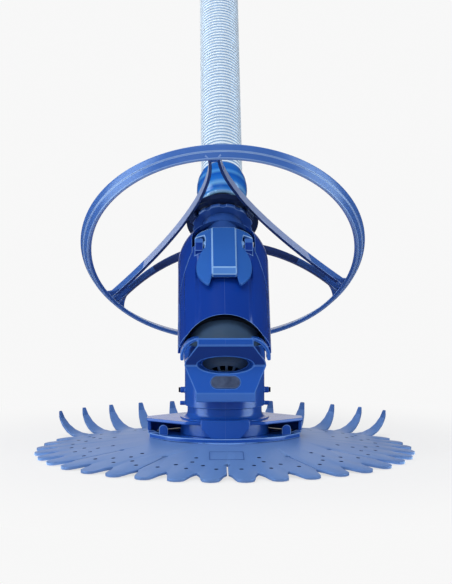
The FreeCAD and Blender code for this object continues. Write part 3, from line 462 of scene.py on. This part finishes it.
def selectOnly(obj):
    clearSelection()
    obj.select_set(True)
    bpy.context.view_layer.objects.active = obj


def applyModifier(obj, kind, **values):
    selectOnly(obj)
    modifier = obj.modifiers.new(kind.lower(), kind)
    for key, value in values.items():
        setattr(modifier, key, value)
    bpy.ops.object.modifier_apply(modifier=modifier.name)


def roundEdges(obj, width, sharp, segments=1, **values):
    applyModifier(obj, "BEVEL", width=width, segments=segments, limit_method="ANGLE",
                  angle_limit=math.radians(sharp), **values)


def cutAway(obj, drill):
    applyModifier(obj, "BOOLEAN", object=drill, operation="DIFFERENCE", solver="EXACT")
    bpy.data.objects.remove(drill)


def setPlace(obj, matrix):
    # moves the mesh itself, so that the object stays at the origin
    obj.matrix_world = matrix
    selectOnly(obj)
    bpy.ops.object.transform_apply(location=True, rotation=True, scale=True)


def selectFaces(obj, test):
    # selects the faces whose centre passes the test, and leaves edit mode open
    selectOnly(obj)
    bpy.ops.object.mode_set(mode="EDIT")
    bpy.ops.mesh.select_mode(type="FACE")
    bpy.ops.mesh.select_all(action="DESELECT")
    bpy.ops.object.mode_set(mode="OBJECT")
    for face in obj.data.polygons:
        face.select = test(face.center)
    bpy.ops.object.mode_set(mode="EDIT")


def smoothByAngle(obj, degrees):
    selectOnly(obj)
    bpy.ops.object.shade_smooth_by_angle(angle=math.radians(degrees))


# rounded copies of the rigid nodes: how near points are merged, what angle counts as flat, how far a point
# may stray as a share of the edge, and how far the shading's angle lies under the one that counts as an edge
roundSet = {"merge": 0.000004, "flat": 0.6, "segments": 2, "stray": 0.55, "shadeUnder": 6}


def copyOfNode(name, pieceName):
    # a merged copy of a CAD node, to be finished as a moulded piece
    piece = bpy.data.objects.new(pieceName, nodes[name].data.copy())
    bpy.context.scene.collection.objects.link(piece)
    selectOnly(piece)
    bpy.ops.object.mode_set(mode="EDIT")
    bpy.ops.mesh.select_all(action="SELECT")
    bpy.ops.mesh.remove_doubles(threshold=roundSet["merge"])
    bpy.ops.mesh.dissolve_limited(angle_limit=math.radians(roundSet["flat"]))
    bpy.ops.object.mode_set(mode="OBJECT")
    return piece


def skinOf(piece):
    work = bmesh.new()
    work.from_mesh(piece.data)
    skin = BVHTree.FromBMesh(work)
    work.free()
    return skin


def drawStraysBack(piece, skin, reach):
    # where short edges meet, a rounded edge can throw a point off the part: it goes back onto the surface
    for vertex in piece.data.vertices:
        spot, _, _, away = skin.find_nearest(vertex.co)
        if away > reach:
            vertex.co = spot


def roundedNode(name, pieceName, edge, sharp, rim=None):
    # the node with its mould edges rounded over
    finish = nodeFinish[name]
    piece = copyOfNode(name, pieceName)
    dress(piece, finish, rim or edgeHighlight.get(finish, finish))
    skin = skinOf(piece)
    roundEdges(piece, edge, sharp, roundSet["segments"], material=1, use_clamp_overlap=False)
    drawStraysBack(piece, skin, roundSet["stray"] * edge)
    smoothByAngle(piece, sharp - roundSet["shadeUnder"])
    applyModifier(piece, "WEIGHTED_NORMAL", keep_sharp=True)
    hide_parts(name)
    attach(piece, nodes[name]["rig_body"])
    return piece


# node: piece name, edge radius, angle that counts as an edge
rounded = {
    "foot_pad": ("sole_pad", 0.0012, 35), "base_flange": ("flange_plate", 0.0009, 35),
    "foot_collar": ("collar", 0.0008, 35), "throat": ("throat_cup", 0.0007, 38),
    "chin_cowl": ("chin", 0.0013, 14), "badge_plate": ("badge", 0.0006, 38),
    "body_shell": ("rear_shell", 0.0007, 38), "front_cover": ("cover_panel", 0.0007, 38),
    "release_handle": ("handle_lever", 0.0009, 14), "cassette_lower": ("dome", 0.0006, 38),
    "compression_ring": ("clamp_ring", 0.0008, 38), "stop_ring": ("pipe_stop", 0.0006, 38),
    "hand_nut": ("neck_nut", 0.0005, 38), "deflector_wheel": ("wheel", 0.0007, 30),
    "hose_cuff_lower": ("cuff_lower", 0.0008, 38), "hose_cuff_upper": ("cuff_upper", 0.0008, 38),
    "pad_clip_left": ("clip_left", 0.0006, 38), "pad_clip_right": ("clip_right", 0.0006, 38),
    "side_screws": ("screw_heads", 0.0004, 38),
}
# pieces whose edges catch less light than their finish does elsewhere
rimOf = {"chin": "softEdge", "collar": "blue", "throat_cup": "softEdge"}
pieces = {}
for nodeName, (pieceName, edge, sharp) in rounded.items():
    pieces[pieceName] = roundedNode(nodeName, pieceName, edge, sharp, rimOf.get(pieceName))
print("edges of the rigid parts are rounded")


def paintFaces(piece, choose, *names):
    # adds the finishes to the piece; choose names the finish of a face, or gives None where it keeps its own
    for name in names:
        piece.data.materials.append(finishes[name])
    for face in piece.data.polygons:
        name = choose(face)
        if name:
            face.material_index = piece.data.materials.find(finishes[name].name)


# chin: the brow over the mouth looks down into the shade, the lip under the badge looks up into the light
chinSet = {"browFloor": 0.105, "lipTop": 0.078, "reach": 0.046,
           "facesFront": -0.5, "looksDown": -0.3, "lipFacesFront": -0.9}


def chinLightAndShade(face):
    atFront = face.normal.y < chinSet["facesFront"] and abs(face.center.x) < chinSet["reach"]
    if face.material_index != 0 or not atFront:
        return None
    if face.center.z > chinSet["browFloor"] and face.normal.z < chinSet["looksDown"]:
        return "brow"
    if face.center.z < chinSet["lipTop"] and face.normal.y < chinSet["lipFacesFront"]:
        return "lip"
    return None


# wheel: the hub is dark, and the spokes get a painted highlight on their outer faces and painted shade below
# and on the side that looks at the hub
wheelSet = {"hub": 0.0435, "spokes": 0.150, "facesOut": 0.2, "facesIn": -0.2, "facesDown": -0.7}


def wheelHubAndSpokeLight(face):
    reach = axisRadius(face.center)
    outward = face.normal.dot((face.center - axisPoint(stationOf(face.center))).normalized())
    if reach < wheelSet["hub"]:
        return "hub"
    if reach >= wheelSet["spokes"]:
        return None
    if outward > wheelSet["facesOut"]:
        return "outside"
    if face.normal.dot(hoseAxis) < wheelSet["facesDown"] or outward < wheelSet["facesIn"]:
        return "inside"
    return None


# lever: only the rib and the hood keep their painted edge highlights, and the rib's foot gets a painted
# highlight that makes it paler than the rib
leverSet = {"rib": 0.0145, "hoodFoot": 0.118, "ribFoot": 0.095, "facesFront": -0.8, "slopesDown": -0.5}


def leverHighlights(face):
    station, aside = stationOf(face.center), abs(face.center.x)
    plainEdge = station < leverSet["hoodFoot"] and aside > leverSet["rib"]
    if face.material_index == 1 and not plainEdge:
        return None
    if station < leverSet["ribFoot"] and aside < leverSet["rib"]:
        if face.normal.y < leverSet["facesFront"] and face.normal.z > leverSet["slopesDown"]:
            return "leverFoot"
    return "lever"


# cover: the tops of the ears beside the lever get a painted highlight
earSet = {"foot": 0.125, "facesUp": 0.5}


def earTopHighlight(face):
    onTop = stationOf(face.center) > earSet["foot"] and face.normal.z > earSet["facesUp"]
    return "lip" if face.material_index == 0 and onTop else None


# neck: the narrow top of the body, which gets a painted highlight
neckHighlightSet = {"foot": 0.136, "reach": 0.036}


def shellNeckHighlight(face):
    inNeck = stationOf(face.center) > neckHighlightSet["foot"] and axisRadius(face.center) < neckHighlightSet["reach"]
    return "neck" if inNeck else None


paintFaces(pieces["wheel"], wheelHubAndSpokeLight, "hub", "outside", "inside")
paintFaces(pieces["handle_lever"], leverHighlights, "leverFoot")
paintFaces(pieces["rear_shell"], shellNeckHighlight, "neck")
paintFaces(pieces["cover_panel"], earTopHighlight, "lip")
paintFaces(pieces["chin"], chinLightAndShade, "brow", "lip")
print("faces have their own tones")

# hose: a ribbed tube along its own line
hoseSet = {"route": (0.284, 0.454, 0.624), "smoothness": 24, "outer": 0.0252, "groove": 0.0228,
           "wall": 0.0010, "pitch": 0.0052, "sides": 72, "shade": 60,
           # one rib: share of the pitch, share of the height from groove to outer, and if the
           # groove's painted shade starts there
           "rib": ((0.00, 0, True), (0.16, 1 / 12, True), (0.30, 0.75, False), (0.42, 1, False),
                   (0.70, 1, False), (0.82, 0.75, False), (0.94, 1 / 12, True))}


def routeLine(stations):
    # the points of a NURBS spline through the hose's route
    curve = bpy.data.curves.new("hoseRoute", "CURVE")
    curve.dimensions = "3D"
    curve.resolution_u = hoseSet["smoothness"]
    spline = curve.splines.new("NURBS")
    spline.points.add(len(stations) - 1)
    for point, station in zip(spline.points, stations):
        point.co = (*axisPoint(station), 1)
    spline.order_u = 3
    spline.use_endpoint_u = True
    holder = bpy.data.objects.new("hoseRoute", curve)
    bpy.context.scene.collection.objects.link(holder)
    bpy.context.view_layer.update()
    line = bpy.data.meshes.new_from_object(holder)
    points = [vertex.co.copy() for vertex in line.vertices]
    bpy.data.objects.remove(holder)
    return points


def makeHose():
    line = routeLine(hoseSet["route"])
    length = sum((b - a).length for a, b in zip(line, line[1:]))
    ribs = round(length / hoseSet["pitch"])
    outer, groove, sides = hoseSet["outer"], hoseSet["groove"], hoseSet["sides"]
    inner = groove - hoseSet["wall"]
    rings = [(number + share, groove + height * (outer - groove), grooveShaded)
             for number in range(ribs) for share, height, grooveShaded in hoseSet["rib"]]
    rings += [(ribs, groove, False), (ribs, inner, False), (0, inner, False)]
    clearSelection()
    mesh = bpy.data.meshes.new("ribbedHose")
    hose = bpy.data.objects.new("ribbed_hose", mesh)
    bpy.context.scene.collection.objects.link(hose)
    work = bmesh.new()
    side = Vector((1, 0, 0))
    across = hoseAxis.cross(side)
    loops, inGrooveShade = [], []
    for turn, radius, _ in rings:
        centre = line[0].lerp(line[-1], turn / ribs)
        loops.append([work.verts.new(centre + radius * (math.cos(angle) * side + math.sin(angle) * across))
                      for angle in (2 * math.pi * k / sides for k in range(sides))])
    for low, high, (_, _, grooveShaded) in zip(loops, loops[1:] + loops[:1], rings):
        for k in range(sides):
            after = (k + 1) % sides
            work.faces.new((low[k], low[after], high[after], high[k]))
            inGrooveShade.append(grooveShaded)
    bmesh.ops.recalc_face_normals(work, faces=work.faces)
    work.to_mesh(mesh)
    work.free()
    smoothByAngle(hose, hoseSet["shade"])
    dress(hose, "hose", "groove")
    # the grooves get painted shade
    for face, grooveShaded in zip(hose.data.polygons, inGrooveShade):
        face.material_index = 1 if grooveShaded else 0
    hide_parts("hose")
    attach(hose, "hose_line")


makeHose()
print("hose is ribbed")

# the webs that fill the forks where two spokes meet the ring: outline is distance from the axis and half
# width, bow and bowCentre are the arc that the spokes follow
webSet = {"outline": ((0.138, 0.0056), (0.141, 0.0062), (0.144, 0.0070), (0.147, 0.0081),
                      (0.150, 0.0098), (0.153, 0.0121), (0.156, 0.0152), (0.158, 0.0184)),
          "crotch": 0.003, "columns": 10, "thick": 0.0032, "bow": 0.236, "bowCentre": -0.0296,
          "forks": 3, "forkAngle": 30, "wheelTurn": 4.6, "edge": 0.0003, "sharp": 50, "shade": 40}


def makeWeb(turn):
    clearSelection()
    rows = len(webSet["outline"])
    bpy.ops.mesh.primitive_grid_add(x_subdivisions=rows - 1, y_subdivisions=webSet["columns"], size=2)
    web = bpy.context.object
    web.name = "spoke_web"
    for vertex in web.data.vertices:
        row = round((vertex.co.x + 1) / 2 * (rows - 1))
        out, half = webSet["outline"][row]
        if row == 0:
            out -= webSet["crotch"] * vertex.co.y ** 2  # the crotch of the fork is hollow
        along = out * math.cos(math.radians(webSet["forkAngle"]))
        rise = webSet["bowCentre"] + math.sqrt(webSet["bow"] ** 2 - along ** 2)
        vertex.co = (out, half * vertex.co.y, rise)
    applyModifier(web, "SOLIDIFY", thickness=webSet["thick"], offset=0)
    roundEdges(web, webSet["edge"], webSet["sharp"])
    aside = webSet["forkAngle"] - webSet["wheelTurn"] + turn
    setPlace(web, leanMatrix() @ Matrix.Rotation(math.radians(aside), 4, "Z"))
    smoothByAngle(web, webSet["shade"])
    dress(web, "wheel")
    return web


def webWheel(wheel):
    webs = [makeWeb(360 / webSet["forks"] * number) for number in range(webSet["forks"])]
    selectOnly(wheel)
    for web in webs:
        web.select_set(True)
    bpy.ops.object.join()


webWheel(pieces["wheel"])
print("spokes have their webs")

# dome's inlet: the slotted ring that shows through the mouth in the chin; the angles are from straight down
inletSet = {"radius": 0.0417, "wall": 0.0024, "upper": 44, "slotTop": 36, "slotFoot": 28, "lower": 24,
            "columns": 48, "rows": 45, "ribEvery": 3, "edge": 0.0003, "sharp": 50, "shade": 30}


def inletWaste(centre):
    # what is cut from the ball: above the ring, below it, and the slots between its ribs
    down = math.degrees(math.acos(max(-1, min(1, -centre.z / centre.length))))
    column = int((math.degrees(math.atan2(centre.y, centre.x)) % 360) // (360 / inletSet["columns"]))
    slotted = inletSet["slotFoot"] < down < inletSet["slotTop"] and column % inletSet["ribEvery"] > 0
    return down > inletSet["upper"] or down < inletSet["lower"] or slotted


def makeInlet():
    clearSelection()
    bpy.ops.mesh.primitive_uv_sphere_add(segments=inletSet["columns"], ring_count=inletSet["rows"],
                                         radius=inletSet["radius"])
    ring = bpy.context.object
    ring.name = "dome_inlet"
    selectFaces(ring, inletWaste)
    bpy.ops.mesh.delete(type="FACE")
    bpy.ops.object.mode_set(mode="OBJECT")
    applyModifier(ring, "SOLIDIFY", thickness=inletSet["wall"], offset=-1)
    roundEdges(ring, inletSet["edge"], inletSet["sharp"])
    setPlace(ring, leanMatrix())
    smoothByAngle(ring, inletSet["shade"])
    dress(ring, "smoke")
    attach(ring, "foot")


makeInlet()
print("inlet ring is in the dome")

# cover: finger hollows beside the lever
hollowSet = {"aside": 0.0315, "out": 0.0445, "station": 0.090, "radii": (0.0034, 0.0042, 0.0130), "turn": 34,
             "columns": 32, "rows": 16, "shade": 32}


def makeHollows(cover):
    for side in (-1, 1):
        clearSelection()
        bpy.ops.mesh.primitive_uv_sphere_add(segments=hollowSet["columns"], ring_count=hollowSet["rows"],
                                             radius=1)
        drill = bpy.context.object
        place = Matrix.Translation((side * hollowSet["aside"], -hollowSet["out"], hollowSet["station"]))
        turn = Matrix.Rotation(math.radians(side * hollowSet["turn"]), 4, "Z")
        setPlace(drill, leanMatrix() @ place @ turn @ Matrix.Diagonal((*hollowSet["radii"], 1)))
        cutAway(cover, drill)
    smoothByAngle(cover, hollowSet["shade"])


makeHollows(pieces["cover_panel"])
print("cover has its finger hollows")

# disc: the CAD node's shape with its water holes; flat, tip, top and edge are the cone of its upper side
discSet = {
    "flat": 0.085, "tip": 0.215, "top": 0.0185, "edge": 0.0036, "curled": 0.021,
    "rounding": 0.0007, "sharp": 40, "shade": 34,
    # rows of holes in each twelfth: distance from the axis and steps to each side
    "rows": ((0.1300, (0,)), (0.1470, (0,)), (0.1600, (-1, 1)), (0.1730, (-2, 0, 2))),
    "twelfths": 12, "rowStep": 5.3, "twelfthMiddle": 15.5,
    "holeRadius": 0.0024, "holeSides": 14, "holeDepth": 0.06, "holeMiddle": 0.02,
    # the walls of a hole: how far from its middle, as a share of its radius, and how steep
    "wallReach": 1.1, "wallTilt": 0.6,
}


def discHeight(radius):
    fall = (discSet["top"] - discSet["edge"]) / (discSet["tip"] - discSet["flat"])
    return discSet["top"] - fall * max(radius - discSet["flat"], 0)


def holePlaces():
    places = []
    for twelfth in range(discSet["twelfths"]):
        for radius, steps in discSet["rows"]:
            for step in steps:
                turn = math.radians(360 / discSet["twelfths"] * twelfth + discSet["twelfthMiddle"]
                                    + discSet["rowStep"] * step)
                places.append(Vector((radius * math.sin(turn), -radius * math.cos(turn))))
    return places


def makeDrill(holes):
    # one round cutter, copied to each hole
    clearSelection()
    bpy.ops.mesh.primitive_cylinder_add(vertices=discSet["holeSides"], radius=discSet["holeRadius"],
                                        depth=discSet["holeDepth"])
    drill = bpy.context.object
    plug = drill.data.copy()
    work = bmesh.new()
    for hole in holes:
        place = Matrix.Translation((*hole, discSet["holeMiddle"]))
        plug.transform(place)
        work.from_mesh(plug)
        plug.transform(place.inverted())
    work.to_mesh(drill.data)
    work.free()
    return drill


def makeDisc():
    disc = copyOfNode("finned_disc", "petal_disc")
    holes = holePlaces()
    roundEdges(disc, discSet["rounding"], discSet["sharp"], segments=2)
    cutAway(disc, makeDrill(holes))
    smoothByAngle(disc, discSet["shade"])
    dress(disc, "disc")
    reach = discSet["wallReach"] * discSet["holeRadius"]

    def discShade(face):
        # painted shade: the curled rear fins are darker, and the walls of the holes lie in their own shade
        if face.center.z > discSet["curled"]:
            return "fin"
        inHole = any((face.center.xy - hole).length < reach for hole in holes)
        return "holeShade" if inHole and abs(face.normal.z) < discSet["wallTilt"] else None

    paintFaces(disc, discShade, "holeShade", "fin")
    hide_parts("finned_disc")
    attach(disc, "disc")


# the raised outline in front of the disc, left bare: near and far edge, half width, line and rise
frameSet = {"inner": 0.103, "outer": 0.136, "half": 0.0187, "line": 0.0009, "rise": 0.0004, "thick": 0.0009}


def makeDiscFrame():
    clearSelection()
    bpy.ops.mesh.primitive_grid_add(x_subdivisions=1, y_subdivisions=1, size=1)
    frameObj = bpy.context.object
    frameObj.name = "disc_frame"
    inset = 0.05  # only tells the inner corners from the outer ones until they are placed
    bpy.ops.object.mode_set(mode="EDIT")
    bpy.ops.mesh.select_all(action="SELECT")
    bpy.ops.mesh.inset(thickness=inset)
    bpy.ops.mesh.delete(type="FACE")
    bpy.ops.object.mode_set(mode="OBJECT")
    for vertex in frameObj.data.vertices:
        shift = frameSet["line"] if abs(vertex.co.x) < 0.5 - inset / 2 else 0
        x = math.copysign(frameSet["half"] - shift, vertex.co.x)
        y = -(frameSet["outer"] - shift) if vertex.co.y < 0 else -(frameSet["inner"] + shift)
        vertex.co = (x, y, discHeight(math.hypot(x, y)) + frameSet["rise"])
    applyModifier(frameObj, "SOLIDIFY", thickness=frameSet["thick"], offset=-1)
    dress(frameObj, "discLine")
    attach(frameObj, "disc")


makeDisc()
makeDiscFrame()
print("disc has its holes and frame")
